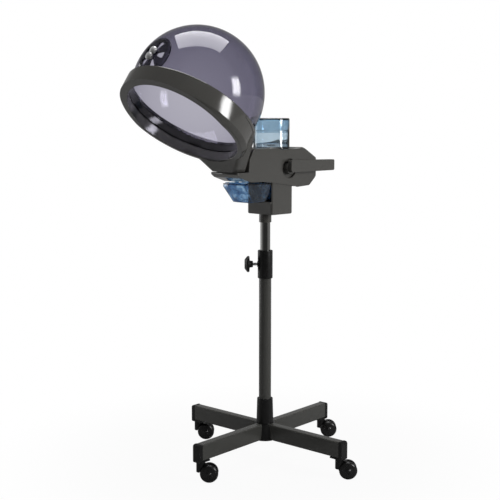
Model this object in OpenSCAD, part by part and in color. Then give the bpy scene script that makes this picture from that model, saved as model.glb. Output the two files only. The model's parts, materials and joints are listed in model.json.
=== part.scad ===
// Salon hood hair steamer on a four-leg rolling stand.
// Millimetres, +Z up, origin on the floor under the mast, hood facing -Y, tilt lever on the +X side.

/* [Rolling base] */
// Diameter of a caster wheel
wheel_d = 50; // [44:1:60]
// Thickness of one wheel disc
wheel_t = 15; // [12:0.5:18]
// Diameter of a wheel axle
axle_d = 6; // [5:0.5:8]
// Thickness of the caster body between its two wheels
fork_t = 12; // [10:0.5:16]
// Distance from a caster's swivel axis to its axle
caster_trail = 23; // [18:0.5:27]
// Direction in which all casters trail
caster_turn = 45; // [0:5:355]
// Gap between a wheel's top and the leg above it
caster_gap = 10; // [8:0.5:16]
// Diameter of a caster stem
stem_d = 11; // [8:0.5:12]
// Length of a caster stem inside its socket
stem_l = 34; // [25:1:38]
// Width of a leg tube
leg_w = 25; // [23:1:30]
// Height of a leg tube
leg_h = 45; // [42:1:55]
// Wall of a leg tube
leg_wall = 1.8; // [1.2:0.1:2.4]
// Distance from the mast axis to the end of a leg
leg_reach = 284; // [250:2:330]
// Turn of the four legs against the head
base_turn = 3.75; // [0:0.25:20]
// Length of leg that an end cap wraps
cap_wrap = 11; // [9:0.5:14]
// Thickness of the caster pad under a leg end
pad_t = 5; // [3:0.5:6]
// Lower diameter of the hub between the legs
hub_d = 68; // [62:1:80]
// Height of the sleeve above the legs
sleeve_h = 72; // [50:1:100]
// Wall of the sleeve at its top
sleeve_wall = 5; // [4:0.5:8]

/* [Mast] */
// Diameter of the lower post
post_d = 35; // [33:0.5:38]
// Wall of the lower post
post_wall = 1.6; // [1.2:0.1:2]
// Length of the lower post
post_l = 541; // [420:1:640]
// Diameter of the inner post
inner_d = 28.4; // [25:0.2:29]
// Wall of the inner post
inner_wall = 2; // [1.5:0.1:3]
// Length of inner post that shows above the collar
mast_out = 80; // [78:1:120]
// Length of inner post inside the lower post
inner_in = 250; // [230:1:300]
// Diameter of the clamp collar
collar_d = 42.5; // [41:0.5:50]
// Height of the clamp collar
collar_h = 80; // [60:1:110]
// Direction of the clamp knob
knob_turn = 225; // [0:5:355]
// Diameter of the clamp knob
knob_d = 46; // [36:1:56]
// Diameter of the clamp screw
screw_d = 8; // [6:0.5:10]

/* [Lower box] */
// Width of the lower box
box_w = 97; // [90:0.5:106]
// Distance from the mast axis to the box front
box_front = 24; // [21:0.5:28]
// Distance from the mast axis to the box rear
box_rear = 61; // [58:0.5:66]
// Height of the lower box
box_h = 93; // [88:0.5:96]
// Wall of the lower box
box_wall = 3; // [2.5:0.1:4]
// Radius of the upright corners of the box
box_corner = 6; // [4:0.5:12]
// Diameter of the neck under the box
neck_d = 35; // [33:0.5:39]
// Length of the neck under the box
neck_h = 23; // [15:1:35]
// Height of the drip cup shelf above the box bottom
shelf_h = 37; // [30:0.5:44]
// Bore of the cord gland
gland_bore = 8; // [6:0.5:10]

/* [Drip cup] */
// Reach of the cup rim in front of the mast axis
cup_reach = 131; // [116:1:144]
// Height of the collar on the cup rim
cup_collar = 3; // [2:0.5:9]
// Wall of the cup
cup_wall = 2; // [1.5:0.1:2.5]

/* [Arm] */
// Wall of the arm housing
arm_wall = 2.6; // [2:0.1:3.2]
// Height of the arm top above the box bottom
arm_top = 187; // [182:0.5:200]
// Height of the arm underside in front of the box, above the box bottom
arm_under = 95; // [93:0.5:98]
// Distance from the mast axis to the arm front face
arm_front = 117; // [110:0.5:122]
// Distance from the mast axis to the arm rear face
arm_rear = 164; // [156:1:185]
// Length of the nose in front of the arm
nose_l = 51; // [44:0.5:60]
// Height of the nose top above the box bottom
nose_top = 122; // [116:0.5:126]
// Distance from the mast axis back to the tilt axis
axis_y = 43; // [39:0.5:47]
// Height of the tilt axis above the box bottom
axis_h = 128; // [122:0.5:134]
// Diameter of the tilt shaft
shaft_d = 12; // [9:0.5:14]
// Radius of the round recess for the lever
recess_r = 28; // [24:0.5:31]
// Length of the lever behind the tilt axis
lever_l = 171; // [110:1:190]
// Thickness of the lever bar
lever_t = 14; // [10:0.5:20]

/* [Water tank] */
// Outer diameter of the tank
tank_d = 102; // [90:0.5:108]
// Height of the tank up to its lid
tank_h = 47; // [40:1:60]
// Height of the lid
lid_h = 34; // [20:1:40]
// Wall of the tank
tank_wall = 2.5; // [2:0.1:3.5]
// Distance from the mast axis back to the tank axis
tank_y = 24; // [16:0.5:32]

/* [Hood] */
// Forward lean of the hood axis
hood_tilt = 34.3; // [28:0.1:40]
// Gap between the back of the ring and the arm front face
hood_gap = 12.4; // [8:0.1:16]
// Height of the ring's lower back edge above the nose
hood_rise = 21.3; // [17:0.1:26]
// Outer radius of the ring
ring_r = 180; // [177:0.5:190]
// Height of the ring along the hood axis
ring_h = 62; // [56:0.5:68]
// Wall of the ring
ring_wall = 4; // [3:0.1:5]
// Outer radius of the dome
dome_r = 174.5; // [172:0.5:177]
// Height of the dome's centre above the opening
dome_h = 106; // [100:0.5:110]
// Wall of the dome
dome_wall = 3; // [2.5:0.1:4]
// Inner radius of the opening
opening_r = 158.5; // [152:0.5:160]
// Rise of the lip from the middle of the opening to its front
lip_rise = 20; // [0:0.5:20]
// Radius of the vent on the dome
vent_r = 53; // [40:0.5:54]
// Number of vent openings
vent_count = 5; // [4:1:8]
// Outer diameter of the steam pipe
pipe_d = 14; // [10:0.5:15]

/* [Hidden] */
$fn = 64;
// Steps in each rounded corner of an outline
arc_steps = 6;
// Gap of a running fit, of parts that move past each other, and of parts that are seated
run_gap = 0.05;
move_gap = 0.5;
seat_gap = 0.2;

// Heights of the stand
leg_z = wheel_d + caster_gap;
leg_top = leg_z + leg_h;
pad_z = leg_z - pad_t;
pivot_r = leg_reach - 16;
leg_in = post_d / 2 + 2.5;
post_z = leg_z + 2;
post_top = post_z + post_l;
collar_top = post_top + 4;
collar_z = collar_top - collar_h;
clamp_z = collar_top - collar_h / 2;
bush_r = post_d / 2 - post_wall;
neck_z = collar_top + mast_out;
head_z = neck_z + neck_h;
inner_top = head_z + shelf_h - 10;

// Heights and planes of the head
shelf_z = head_z + shelf_h;
shelf_t = 4;
rear_wall = 5;
cover_t = 2.5;
box_gap = 0.9;
gland_z = head_z + 30;
axis_z = head_z + axis_h;
arm_z = head_z + arm_top;
under_z = head_z + arm_under;
nose_reach = arm_front + nose_l;
nose_z = head_z + nose_top;
arm_w = box_w + 2 * (box_gap + arm_wall);
wall_x = arm_w / 2;
inner_x = wall_x - arm_wall;
slot_front = box_front + 9;
slot_rear = box_rear + 25;
bracket_x = box_w / 2 - 14.5;
bracket_t = 4;
lug_r = 16;
washer_t = 2;
boss_x = bracket_x + bracket_t + washer_t + 2 * seat_gap;
recess_floor = boss_x + 4;
bar_x = wall_x + 6;
bar_end = 12;

// Drip cup
cup_half = box_w / 2 - box_wall - 1.5;
cup_air = 2.5;
cup_h = arm_under - shelf_h - cup_collar - cup_air;
cup_drop = 9;
foot_drop = 7;

// Tank seat
flange_r = tank_d / 2 + 2.8;
flange_t = 5;
seat_z = arm_z - flange_t;
lid_z = arm_z + tank_h;

// Boiler
boiler_r = 33;
boiler_y = 55 - arm_front;
boiler_wall = 2;
boiler_z = under_z + 7;
boiler_h = 56;
heater_ring = 16;
heater_end = 7;
heater_rod = 6;
post_rod = heater_rod + 1;
heater_y = boiler_y - sqrt(heater_ring * heater_ring - heater_end * heater_end);

// Hood
hood_reach = arm_front + hood_gap + ring_r * cos(hood_tilt) + ring_h * sin(hood_tilt);
hood_z = nose_z + hood_rise + ring_r * sin(hood_tilt);
bevel_r = 9;
bevel_h = 13;
lip_h = 26;
lip_turn = atan(lip_rise / ring_r);
gutter_r = opening_r + 3;
gutter_t = 5;
drip_r = opening_r + 2;
drip_z = lip_h + 4;
rim_z = ring_h - 12;
pipe_z = rim_z - 20;
pipe_root = 32;
pipe_in = pipe_root + ring_wall + 5;
neck_half = 46;
neck_gap = 2;
chin_half = 22;
cradle_t = 5;
cradle_half = 80;
vent_drop = 17;
vent_rise = asin((ring_h + vent_r - vent_drop - dome_h) / dome_r);
vent_t = 3;
hole_r = vent_r - 11;

charcoal = "#5b5a57";
black = "#1d1d1f";
steel = "#b9bbbd";
grey_paint = "#58585a";

// Outlines: each corner is [across, up, radius], counter-clockwise
function flat(p) = [p[0], p[1]];
function unit(v) = v / norm(v);
function short_turn(a) = a > 180 ? a - 360 : a < -180 ? a + 360 : a;
function before(p, i) = flat(p[(i + len(p) - 1) % len(p)]);
function after(p, i) = flat(p[(i + 1) % len(p)]);
function corner_arc(a, b, c, r) =
    let (u = unit(a - b))
    let (w = unit(c - b))
    let (half = acos(u * w) / 2)
    let (centre = b + unit(u + w) * r / sin(half))
    let (first = b + u * r / tan(half) - centre)
    let (last = b + w * r / tan(half) - centre)
    let (from = atan2(first[1], first[0]))
    let (sweep = short_turn(atan2(last[1], last[0]) - from))
    [for (i = [0 : arc_steps]) let (t = from + sweep * i / arc_steps) centre + r * [cos(t), sin(t)]];
function rounded(p) =
    [for (i = [0 : len(p) - 1]) each corner_arc(before(p, i), flat(p[i]), after(p, i), p[i][2])];
function inward(a, b) = let (u = unit(b - a)) [-u[1], u[0]];
function cross_of(a, b) = a[0] * b[1] - a[1] * b[0];
function inset(p, d) =
    [for (i = [0 : len(p) - 1])
        let (b = flat(p[i]))
        let (m = inward(before(p, i), b))
        let (n = inward(b, after(p, i)))
        let (q = b + d * (m + n) / (1 + m * n))
        let (r = p[i][2] + (cross_of(m, n) > 0 ? -d : d))
        [q[0], q[1], max(r, 0.6)]];

// Rectangle with true round corners, centred
module round_rect(w, h, r) {
    square([w - 2 * r, h], center = true);
    square([w, h - 2 * r], center = true);
    for (x = [-1, 1], y = [-1, 1])
        translate([x * (w / 2 - r), y * (h / 2 - r)]) circle(r);
}

// Tube or pin along X, from x0 to x1
module pin_x(r, x0, x1) {
    translate([x0, 0, 0]) rotate([0, 90, 0]) cylinder(r = r, h = x1 - x0);
}

// Side outline drawn in Y and Z, extruded across X
module side_solid(w, points) {
    rotate([90, 0, 90]) linear_extrude(w, center = true) polygon(points);
}

// Rolling base

module on_leg(k) {
    rotate(base_turn + 90 * k) children();
}

module on_caster(k) {
    on_leg(k) translate([pivot_r, 0, 0]) rotate(caster_turn - base_turn - 90 * k) children();
}

module leg_section(grow) {
    translate([0, leg_z + leg_h / 2]) round_rect(leg_w + 2 * grow, leg_h + 2 * grow, 3 + grow);
}

// Leg section run out along the leg from x0 to x1
module leg_run(x0, x1, grow) {
    translate([x0, 0, 0]) rotate([90, 0, 90]) linear_extrude(x1 - x0) leg_section(grow);
}

module base_hub() {
    rib_r = post_d / 2 + sleeve_wall;
    color(black) difference() {
        union() {
            translate([0, 0, leg_z - 2]) cylinder(r1 = hub_d / 2, r2 = hub_d / 2 - 4, h = leg_h + 2);
            translate([0, 0, leg_top - 0.01]) cylinder(r1 = rib_r + 2, r2 = rib_r, h = sleeve_h);
        }
        for (k = [0 : 3])
            on_leg(k) leg_run(leg_in - seat_gap, hub_d, seat_gap / 2);
        translate([0, 0, post_z - seat_gap]) cylinder(d = post_d + seat_gap, h = post_l);
    }
}

module leg(k) {
    color(grey_paint) on_leg(k) difference() {
        leg_run(leg_in, leg_reach - cap_wrap, 0);
        leg_run(leg_in - 1, leg_reach, -leg_wall);
        translate([pivot_r - stem_d, -stem_d / 2 - 1, leg_z - 1])
            cube([3 * stem_d, stem_d + 2, leg_wall + 2]);
    }
}

// Plug, end cover and caster pad in one moulding, in the leg's own frame
module leg_end_cap() {
    cap_round = 8;
    pad_l = 40;
    plug_l = 36;
    cover = [[leg_reach - cap_wrap, pad_z, 1], [leg_reach, pad_z, 2],
        [leg_reach, leg_top + 1, cap_round], [leg_reach - cap_wrap, leg_top + 1, 1]];
    difference() {
        union() {
            intersection() {
                rotate([90, 0, 0]) linear_extrude(leg_w + 2, center = true) polygon(rounded(cover));
                translate([leg_reach - cap_wrap, 0, 0]) rotate([90, 0, 90]) linear_extrude(cap_wrap)
                    translate([0, (pad_z + leg_top + 1) / 2])
                    round_rect(leg_w + 1.6, leg_top + 1 - pad_z, 3.5);
            }
            leg_run(leg_reach - cap_wrap - plug_l, leg_reach - cap_wrap + 1, -leg_wall - seat_gap);
            translate([leg_reach - pad_l, -leg_w / 2, pad_z])
                cube([pad_l - 2, leg_w, pad_t - seat_gap]);
        }
        translate([pivot_r, 0, pad_z - 1]) cylinder(d = stem_d + 2 * run_gap, h = stem_l + 1 + move_gap);
        translate([pivot_r - stem_d, -stem_d / 2 - 0.8, leg_z - seat_gap])
            cube([stem_d / 2 + 0.2, stem_d + 1.6, leg_wall + 2 * seat_gap]);
    }
}

module leg_end_caps() {
    color(black) for (k = [0 : 3]) on_leg(k) leg_end_cap();
}

// Caster body: stem, swivel boss scooped out for the wheels, and the web that carries the axle
module caster_fork(k) {
    boss_r = 12;
    web_r = wheel_d / 2 - 5;
    boss_z = wheel_d * 0.56;
    wheel_room = 1;
    web = [[-boss_r + 1, boss_z, 4], [caster_trail, boss_z, 2], [caster_trail + web_r * 0.7, pad_z - 12, 3],
        [boss_r, pad_z - 4, 3], [-boss_r + 1, pad_z - 4, 2]];
    color(black) on_caster(k) difference() {
        union() {
            translate([0, 0, pad_z - 2]) cylinder(d = stem_d, h = stem_l + 2);
            difference() {
                translate([0, 0, boss_z]) cylinder(r = boss_r, h = pad_z - move_gap - boss_z);
                for (side = [90, -90])
                    translate([caster_trail, 0, wheel_d / 2]) rotate([side, 0, 0])
                        translate([0, 0, fork_t / 2])
                        cylinder(r = wheel_d / 2 + wheel_room, h = wheel_t + 10);
            }
            rotate([90, 0, 0]) linear_extrude(fork_t, center = true) {
                translate([caster_trail, wheel_d / 2]) circle(web_r);
                polygon(rounded(web));
            }
        }
        translate([caster_trail, 0, wheel_d / 2]) rotate([90, 0, 0])
            cylinder(d = axle_d + seat_gap / 2, h = 2 * wheel_d, center = true);
    }
}

module caster_axle(k) {
    half = fork_t / 2 + move_gap + wheel_t * 0.7;
    color(steel) on_caster(k) translate([caster_trail, 0, wheel_d / 2]) rotate([90, 0, 0])
        cylinder(d = axle_d, h = 2 * half, center = true);
}

// Domed disc with a rounded tread, hollow towards the caster body, revolved about its axle
module wheel_disc() {
    r = wheel_d / 2;
    wheel = [[axle_d / 2 + run_gap, 0, 0.3], [9, 0, 0.5], [9, 4, 1], [r - 4, 4, 1], [r - 4, 0, 0.5],
        [r - 1, 0, 0.8], [r, 3, 2], [r, wheel_t * 0.4, 6], [r * 0.8, wheel_t * 0.85, 12],
        [axle_d / 2 + run_gap, wheel_t, 0.3]];
    difference() {
        rotate_extrude() polygon(rounded(wheel));
        translate([0, 0, -1]) cylinder(d = axle_d + 2 * run_gap, h = wheel_t * 0.7 + 1 + seat_gap);
    }
    translate([0, 0, wheel_t * 0.7 + seat_gap]) cylinder(d = axle_d + 1, h = wheel_t * 0.3 - seat_gap);
}

module caster_wheels(k) {
    color(black) on_caster(k) translate([caster_trail, 0, wheel_d / 2])
        for (side = [90, -90])
            rotate([side, 0, 0]) translate([0, 0, fork_t / 2 + move_gap]) wheel_disc();
}

// Mast

module tube(d, wall, z0, z1) {
    translate([0, 0, z0]) difference() {
        cylinder(d = d, h = z1 - z0);
        translate([0, 0, -1]) cylinder(d = d - 2 * wall, h = z1 - z0 + 2);
    }
}

// Radial hole for the clamp screw
module screw_hole(d) {
    translate([0, 0, clamp_z]) rotate(knob_turn) pin_x(d / 2, 0, post_d * 2);
}

module lower_post() {
    color(grey_paint) difference() {
        tube(post_d, post_wall, post_z, post_top);
        screw_hole(screw_d + 1);
    }
}

// Guide bush pressed into the top of the lower post
module post_bush() {
    color(black) difference() {
        tube(2 * bush_r - seat_gap, bush_r - seat_gap / 2 - inner_d / 2 - run_gap, collar_z, post_top);
        screw_hole(screw_d + 1);
    }
}

module clamp_collar() {
    lip = 1.5;
    sides = [[post_d / 2 + seat_gap / 2, collar_z, 0.5], [collar_d / 2, collar_z, 2],
        [collar_d / 2, collar_top, 2], [inner_d / 2 + move_gap, collar_top, 0.6],
        [inner_d / 2 + move_gap, post_top + seat_gap, 0.4],
        [post_d / 2 + seat_gap / 2, post_top + seat_gap, 0.4]];
    color(black) difference() {
        union() {
            rotate_extrude() polygon(rounded(sides));
            difference() {
                translate([0, 0, clamp_z]) rotate(knob_turn)
                    pin_x(screw_d, post_d / 2, collar_d / 2 + lip);
                translate([0, 0, clamp_z - 20]) cylinder(d = post_d + seat_gap, h = 40);
            }
        }
        screw_hole(screw_d + 2 * run_gap);
    }
}

module clamp_screw() {
    color(steel) translate([0, 0, clamp_z]) rotate(knob_turn)
        pin_x(screw_d / 2, inner_d / 2 + 0.3, collar_d / 2 + 20);
}

// Mushroom knob, revolved about the screw
module clamp_knob() {
    x0 = collar_d / 2 + 13.5;
    hub_l = 11;
    disc_t = 13;
    turned = [[0, 0, 0.4], [screw_d / 2 + 5, 0, 1.5], [screw_d / 2 + 6, hub_l - 2, 2],
        [knob_d / 2, hub_l - 1, 2.5], [knob_d / 2, hub_l + 5, 4], [knob_d * 0.28, hub_l + disc_t, 6],
        [0, hub_l + disc_t, 0.4]];
    color(black) translate([0, 0, clamp_z]) rotate(knob_turn) difference() {
        translate([x0, 0, 0]) rotate([0, 90, 0]) rotate_extrude() polygon(rounded(turned));
        pin_x(screw_d / 2 + seat_gap / 2, 0, collar_d / 2 + 20 + seat_gap);
    }
}

module inner_post() {
    color(grey_paint) tube(inner_d, inner_wall, post_top - inner_in, inner_top);
}

// Plug that guides the bottom of the inner post in the lower post
module inner_foot() {
    z = post_top - inner_in;
    color(black) {
        translate([0, 0, z - 12]) cylinder(r = bush_r - run_gap, h = 12);
        translate([0, 0, z - 0.01]) cylinder(d = inner_d - 2 * inner_wall - seat_gap, h = 20);
    }
}

// Lower box

module box_plan(grow) {
    w = box_w + 2 * grow;
    l = box_front + box_rear + 2 * grow;
    translate([0, (box_rear - box_front) / 2]) round_rect(w, l, box_corner + grow);
}

// Four corners of the rear cover's screws
module at_cover_screws() {
    for (x = [-1, 1], z = [-1, 1])
        translate([x * (box_w / 2 - 14), box_rear, head_z + box_h / 2 - 2 + z * 28])
            rotate([-90, 0, 0]) children();
}

module cover_block(grow, y0, y1) {
    w = box_w - 20;
    h = 66;
    translate([0, y0, head_z + box_h / 2 - 2]) rotate([-90, 0, 0]) linear_extrude(y1 - y0)
        round_rect(w + 2 * grow, h + 2 * grow, 3);
}

module box_shell() {
    lip = 6;
    cup_gap = 2.5;
    color(charcoal) difference() {
        union() {
            difference() {
                translate([0, 0, head_z]) linear_extrude(box_h) box_plan(0);
                difference() {
                    translate([0, 0, head_z + box_wall]) linear_extrude(box_h) box_plan(-box_wall);
                    translate([-box_w, box_rear - rear_wall, head_z]) cube([2 * box_w, box_w, 2 * box_h]);
                }
                translate([0, -box_front, shelf_z + cup_h / 2 + cup_gap / 2])
                    cube([box_w - 2 * box_wall, 30, cup_h + cup_gap], center = true);
            }
            translate([0, 0, neck_z]) cylinder(d = neck_d, h = shelf_z - neck_z);
            intersection() {
                translate([0, 0, shelf_z - shelf_t]) linear_extrude(shelf_t) box_plan(lip);
                translate([-box_w / 2 + 2, -box_front - lip, shelf_z - shelf_t])
                    cube([box_w - 4, box_front + lip + 8, shelf_t]);
            }
        }
        translate([0, 0, neck_z - 1])
            cylinder(d = inner_d + 2 * run_gap, h = inner_top - neck_z + 1 + seat_gap);
        cover_block(seat_gap, box_rear - cover_t, box_rear + 1);
        cover_block(-8, box_rear - rear_wall - 1, box_rear);
        at_cover_screws() cylinder(d = 3 + seat_gap, h = 3 * rear_wall, center = true);
    }
}

// Cord gland in the rear cover, drawn along Z
module on_gland() {
    translate([0, box_rear, gland_z]) rotate([-90, 0, 0]) children();
}

module rear_cover() {
    color(charcoal) difference() {
        cover_block(0, box_rear - cover_t, box_rear);
        at_cover_screws() cylinder(d = 3 + seat_gap, h = 20, center = true);
        on_gland() cylinder(d = gland_bore + 6 + seat_gap, h = 20, center = true);
    }
}

module cover_screws() {
    color(steel) at_cover_screws() {
        cylinder(d1 = 6, d2 = 4.5, h = 1.8);
        translate([0, 0, -rear_wall]) cylinder(d = 3, h = rear_wall + 0.5);
    }
}

module cord_gland() {
    color(black) on_gland() difference() {
        union() {
            translate([0, 0, -8]) cylinder(d = gland_bore + 6, h = 10);
            translate([0, 0, 0.1]) cylinder(d1 = gland_bore + 9, d2 = gland_bore + 7, h = 3);
        }
        translate([0, 0, -10]) cylinder(d = gland_bore, h = 20);
    }
}

// Two uprights on a foot plate, with an eye for the shaft in each
module tilt_bracket() {
    foot = head_z + box_wall + seat_gap / 2;
    side_front = axis_y - 13;
    side_l = box_rear - rear_wall - seat_gap - side_front;
    color(steel) difference() {
        union() {
            for (x = [-1, 1])
                translate([x * (bracket_x + bracket_t / 2), 0, 0]) rotate([90, 0, 90])
                    linear_extrude(bracket_t, center = true) {
                        translate([axis_y, axis_z]) circle(lug_r);
                        translate([side_front, foot]) square([side_l, axis_z - foot]);
                    }
            translate([-bracket_x - 1, side_front, foot]) cube([2 * bracket_x + 2, side_l, bracket_t]);
        }
        translate([0, axis_y, axis_z]) pin_x(shaft_d / 2 + seat_gap / 2, -wall_x, wall_x);
    }
}

module tilt_shaft() {
    color(steel) translate([0, axis_y, axis_z]) pin_x(shaft_d / 2, -inner_x + 1, bar_x + 4);
}

module friction_washers() {
    x0 = bracket_x + bracket_t + seat_gap;
    color(steel) translate([0, axis_y, axis_z]) for (x = [x0, -x0 - washer_t]) difference() {
        pin_x(lug_r - 2, x, x + washer_t);
        pin_x(shaft_d / 2 + run_gap, x - 1, x + washer_t + 1);
    }
}

// Drip cup: a drawer under the nose with a three-sided front that flares upwards

// Outline with sloped front corners: half width, front, depth of the corners, inset all round
module cup_plan(half, front, drop, d) {
    face = 0.39 * half;
    turn = atan2(drop, half - face);
    rear = 4;
    side_x = half - d;
    side_y = drop - front + d * tan(45 - turn / 2);
    face_x = face - d * tan(turn / 2);
    polygon([[side_x, rear - d], [-side_x, rear - d], [-side_x, side_y], [-face_x, d - front],
        [face_x, d - front], [side_x, side_y]]);
}

module cup_body(d, z0, z1) {
    foot_front = cup_reach - 34;
    foot_half = cup_half - 7;
    slope = cup_h - 8;
    hull() {
        translate([0, 0, z0]) linear_extrude(0.5) cup_plan(foot_half, foot_front, foot_drop, d);
        translate([0, 0, shelf_z + slope]) linear_extrude(z1 - shelf_z - slope)
            cup_plan(cup_half, cup_reach, cup_drop, d);
    }
}

// Tub with a rim that turns inwards, and a collar on the rim that reaches up under the nose
module drip_cup() {
    base = shelf_z + 0.3;
    rim = base + cup_h;
    rim_t = 2.5;
    collar_in = 5;
    collar_l = cup_reach - slot_front - 34;
    color("#2d4a78", 0.75) difference() {
        union() {
            cup_body(0, base, rim);
            translate([0, 0, rim - 0.01]) linear_extrude(cup_collar) intersection() {
                cup_plan(cup_half, cup_reach, cup_drop, collar_in);
                translate([-cup_half, -cup_reach - 10]) square([2 * cup_half, collar_l + 10]);
            }
        }
        cup_body(cup_wall, base + cup_wall, rim - rim_t);
        translate([0, 0, rim - rim_t - 1]) linear_extrude(cup_collar + rim_t + 2)
            cup_plan(cup_half, cup_reach, cup_drop, collar_in + cup_wall);
    }
}

// Arm housing

// Side outline of the arm and its nose
function arm_outline() = [
    [-nose_reach, nose_z, 3], [-nose_reach + 20, nose_z - 14, 12], [-arm_front + 8, under_z, 14],
    [-slot_front - 32, under_z, 10], [-slot_front, under_z - 3, 10], [box_rear - 4, head_z + 80, 4],
    [box_rear + 16, head_z + 75, 6], [arm_rear - 37, head_z + 78, 14], [arm_rear, head_z + 111, 12],
    [arm_rear, head_z + 151, 5], [arm_rear - 63, arm_z, 5], [-arm_front + 21, arm_z, 3],
    [-arm_front + 3, arm_z - 31, 3], [-arm_front, nose_z + 6, 3], [-arm_front, nose_z, 2]];

module arm_solid(d) {
    plan_r = 14;
    edge_r = 7;
    length = nose_reach + arm_rear - 2 * d;
    height = arm_z - head_z - 70 - 2 * d;
    intersection() {
        side_solid(arm_w - 2 * d, rounded(inset(arm_outline(), d)));
        translate([0, (arm_rear - nose_reach) / 2, head_z]) linear_extrude(arm_top + 10)
            round_rect(arm_w - 2 * d, length, plan_r - d);
        translate([0, 0, head_z + 70 + d]) rotate([90, 0, 0]) linear_extrude(3 * nose_reach, center = true)
            translate([0, height / 2]) round_rect(arm_w - 2 * d, height, edge_r - d);
    }
}

// Screw bosses that tie the two halves, as [across, up]
arm_bosses = [[-nose_reach + 30, nose_z - 10], [arm_rear - 14, head_z + 128],
    [arm_rear - 68, arm_z - 13], [arm_rear - 58, head_z + 90]];

module at_arm_bosses() {
    for (b = arm_bosses) translate([0, b[0], b[1]]) children();
}

// Places of the controls on the left wall
timer_y = arm_rear - 50;
timer_z = axis_z + 4;
switch_y = axis_y + 24;
switch_z = axis_z + 30;
lamp_y = switch_y + 22;
switch_w = 21;
switch_h = 15;

// The whole housing with bosses and recess, before it is parted in two
module arm_housing() {
    difference() {
        union() {
            difference() {
                arm_solid(0);
                arm_solid(arm_wall);
            }
            intersection() {
                arm_solid(0.1);
                union() {
                    translate([0, axis_y, axis_z]) {
                        pin_x(recess_r + arm_wall, boss_x + 1, wall_x);
                        pin_x(lug_r - 2, boss_x, wall_x);
                        pin_x(lug_r - 2, -wall_x, -boss_x);
                    }
                    at_arm_bosses() pin_x(4.5, -wall_x, wall_x);
                }
            }
        }
        translate([0, axis_y, axis_z]) pin_x(recess_r, recess_floor, wall_x + 1);
        translate([0, axis_y, axis_z]) pin_x(shaft_d / 2 + run_gap, -inner_x, wall_x);
        at_arm_bosses() pin_x(1.6, -wall_x - 1, wall_x - 8);
        at_arm_bosses() pin_x(3.6, -wall_x - 1, -wall_x + 2);
        translate([-inner_x, -slot_front, head_z])
            cube([2 * inner_x, slot_front + slot_rear, arm_under + 2]);
        translate([0, tank_y, seat_z - 0.3]) cylinder(r = flange_r + move_gap, h = 2 * flange_t, $fn = 96);
        on_hood() on_pipe() cylinder(d = pipe_d + 2 * seat_gap, h = 60, center = true);
        translate([-wall_x, timer_y, timer_z]) pin_x(5, -5, 10);
        translate([-wall_x, switch_y, switch_z])
            cube([20, switch_w + 2 * seat_gap, switch_h + 2 * seat_gap], center = true);
        translate([-wall_x, lamp_y, switch_z]) pin_x(4 + seat_gap, -5, 10);
    }
}

module arm_half(side) {
    color(charcoal) intersection() {
        arm_housing();
        translate([side > 0 ? 0 : -arm_w, -400, head_z]) cube([arm_w, 800, 400]);
    }
}

module arm_shell_right() {
    arm_half(1);
}

module arm_shell_left() {
    arm_half(-1);
}

module arm_screws() {
    color(steel) at_arm_bosses() {
        pin_x(3.4, -wall_x + 0.4, -wall_x + 2);
        pin_x(1.5, -wall_x + 1, 14);
    }
}

// Lever on the right wall, at rest pointing backwards
module tilt_lever() {
    bar = [[-bar_end, -10, 6], [lever_l, -9, 5], [lever_l, 22, 5], [-bar_end, 25, 6]];
    color(charcoal) translate([0, axis_y, axis_z]) difference() {
        union() {
            pin_x(lug_r, recess_floor + move_gap, bar_x + 1);
            translate([bar_x + lever_t / 2, 0, 0]) side_solid(lever_t, rounded(bar));
        }
        pin_x(shaft_d / 2 + run_gap, 0, bar_x + 4 + seat_gap);
    }
}

// Steam making

module boiler() {
    color(steel) difference() {
        union() {
            translate([0, boiler_y, boiler_z]) cylinder(r = boiler_r, h = boiler_h);
            translate([0, boiler_y, boiler_z + boiler_h - 3]) cylinder(r = boiler_r + 5, h = 3);
            for (x = [-1, 1])
                translate([x * (boiler_r - 8), boiler_y, under_z + arm_wall + seat_gap])
                    cylinder(r = 4, h = boiler_z - under_z);
        }
        translate([0, boiler_y, boiler_z + boiler_wall]) cylinder(r = boiler_r - boiler_wall, h = boiler_h);
        on_hood() on_pipe() cylinder(d = pipe_d + 2 * seat_gap, h = 200, center = true);
        for (x = [-1, 1])
            translate([x * heater_end, heater_y, boiler_z - 1])
            cylinder(d = post_rod + 2 * seat_gap, h = 2 * boiler_wall);
        translate([0, boiler_y, boiler_z + boiler_h - 14]) rotate([-90, 0, 0]) cylinder(d = 8.4, h = 60);
    }
}

module boiler_lid() {
    z = boiler_z + boiler_h + seat_gap;
    color(steel) translate([0, boiler_y, z]) {
        cylinder(r = boiler_r + 5, h = 2);
        translate([0, 0, 1.9]) cylinder(r1 = boiler_r - 6, r2 = boiler_r - 12, h = 4);
    }
}

// Tubular heater: an open ring above the boiler floor, ending in two posts that go through it
module heater_element() {
    lift = 10;
    color(black) {
        translate([0, boiler_y, boiler_z + lift]) difference() {
            rotate_extrude() translate([heater_ring, 0]) circle(d = heater_rod, $fn = 32);
            translate([-heater_end, -2 * heater_ring, -heater_rod])
                cube([2 * heater_end, 2 * heater_ring, 2 * heater_rod]);
        }
        for (x = [-1, 1])
            translate([x * heater_end, heater_y, boiler_z - 4])
            cylinder(d = post_rod, h = lift + 4 + post_rod / 2);
    }
}

module thermostat() {
    color(black) translate([0, boiler_y + boiler_r + seat_gap, boiler_z + 20]) rotate([-90, 0, 0]) {
        cylinder(d = 16, h = 5);
        translate([0, 0, 4.9]) cylinder(d = 11, h = 4);
    }
}

// Steam pipe through the neck, drawn along Z in its own frame
module on_pipe() {
    translate([0, ring_r + pipe_root, pipe_z]) rotate([90, 0, 0]) children();
}

module steam_pipe() {
    back = 30;
    color(steel) on_hood() on_pipe() translate([0, 0, -back]) difference() {
        cylinder(d = pipe_d, h = back + pipe_in);
        translate([0, 0, -1]) cylinder(d = pipe_d - 3, h = back + pipe_in + 2);
    }
}

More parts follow.
